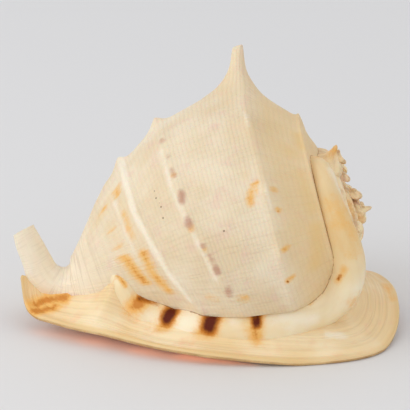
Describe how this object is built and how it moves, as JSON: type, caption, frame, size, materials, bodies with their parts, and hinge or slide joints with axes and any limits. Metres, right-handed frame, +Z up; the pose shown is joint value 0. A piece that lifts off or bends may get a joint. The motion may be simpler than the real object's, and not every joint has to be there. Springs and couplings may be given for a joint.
{
  "type": "conch shell",
  "caption": "Large horned helmet-type sea shell resting on its mouth, with a coiled body, tall horn, curled siphon canal, spread inner shield and thick rolled lips.",
  "frame": {"origin": "on the table, under the middle of the shell's bounding box", "axes": "+X towards the spire, -X towards the siphon canal, -Y towards the spread inner shield, +Y towards the outer lip, +Z up"},
  "size_m": [0.2326, 0.1816, 0.1613],
  "materials": {
    "shell": "satin"
  },
  "bodies": {
    "root": {"shell": "shell"}
  },
  "joints": []
}
